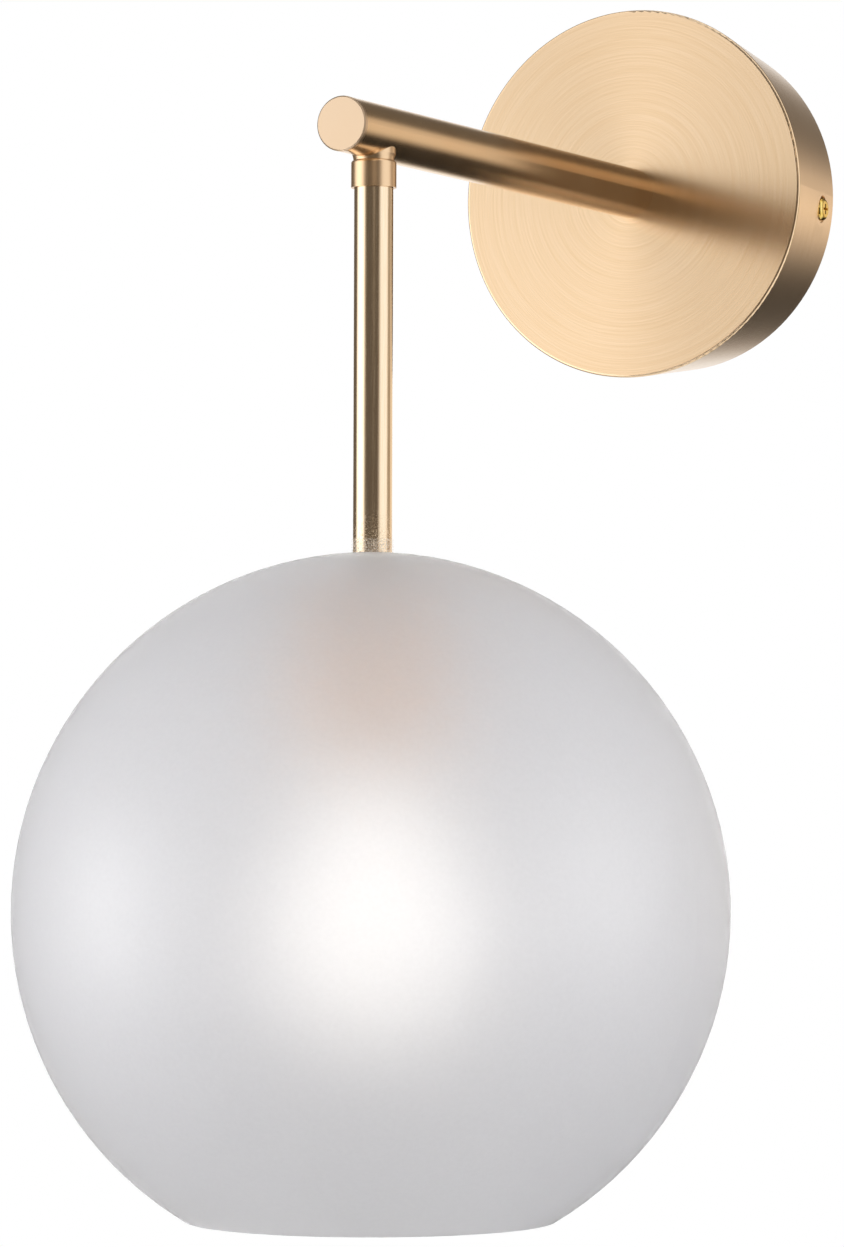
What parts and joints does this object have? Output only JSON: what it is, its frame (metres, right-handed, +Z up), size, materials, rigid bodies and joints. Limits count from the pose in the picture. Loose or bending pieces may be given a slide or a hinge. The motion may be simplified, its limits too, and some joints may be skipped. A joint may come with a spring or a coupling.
{
  "type": "wall light with hanging globe",
  "caption": "Wall light: round canopy, straight arm, drop tube and a frosted glass globe, open at the bottom, round a screw-in bulb.",
  "frame": {"origin": "middle of the wall bracket's back face, on the wall", "axes": "+Z up, +Y into the wall, the arm reaches out along -Y, +X to the right of someone facing the wall"},
  "size_m": [0.2, 0.3015, 0.3611],
  "materials": {
    "brushed_brass": "satin, brushed in rings",
    "tube_brass": "satin to bright, drawn tube",
    "screw_brass": "polished",
    "holder_brass": "satin",
    "contact_brass": "plain",
    "zinc_steel": "zinc plated",
    "frosted_glass": "acid frosted outside",
    "clear_silicone": "clear",
    "white_silicone": "matt",
    "block_nylon": "natural nylon",
    "holder_plastic": "heat-resistant moulding",
    "bulb_white": "smooth",
    "opal": "opal diffuser",
    "nickel": "nickel plated",
    "black_insulator": "gloss",
    "live_insulation": "silicone, brown",
    "neutral_insulation": "silicone, blue",
    "earth_insulation": "silicone, green and yellow"
  },
  "bodies": {
    "fitting": {"wall_bracket": "zinc_steel", "canopy": "brushed_brass", "canopy_screws": "screw_brass", "terminal_block": "block_nylon", "terminal_sleeves": "contact_brass", "terminal_screws": "zinc_steel", "block_screw": "zinc_steel", "earth_tag": "contact_brass", "earth_screw": "screw_brass", "arm_tube": "brushed_brass", "arm_end_cap": "brushed_brass", "arm_bush": "contact_brass", "arm_nipple": "zinc_steel", "arm_washer": "zinc_steel", "arm_nut": "contact_brass", "collar": "tube_brass", "drop_tube": "tube_brass", "glass_globe": "frosted_glass", "glass_bush": "clear_silicone", "seat_washer": "white_silicone", "support_washer": "zinc_steel", "support_nut": "contact_brass", "holder_cup": "holder_brass", "holder_bridge": "zinc_steel", "holder_screws": "zinc_steel", "holder_base": "holder_plastic", "holder_terminals": "contact_brass", "holder_shell": "contact_brass", "holder_contact": "contact_brass", "live_lead": "live_insulation", "neutral_lead": "neutral_insulation", "earth_lead": "earth_insulation"},
    "bulb_tip": {"bulb_contact": "nickel"},
    "bulb": {"bulb_insulator": "black_insulator", "bulb_cap": "nickel", "bulb_housing": "bulb_white", "bulb_envelope": "opal"}
  },
  "joints": [
    {"name": "bulb_travel", "type": "slide", "parent": "fitting", "child": "bulb_tip", "axis": [0, 0, -1], "range_m": [0, 0.01452]},
    {"name": "bulb_turn", "type": "hinge", "parent": "bulb_tip", "child": "bulb", "pos_m": [0, -0.2015, -0.2], "axis": [0, 0, -1], "range_deg": [0, 1440]}
  ],
  "couplings": [
    {"joint": "bulb_travel", "follows": "bulb_turn", "m_per_rad": 0.00057751}
  ]
}
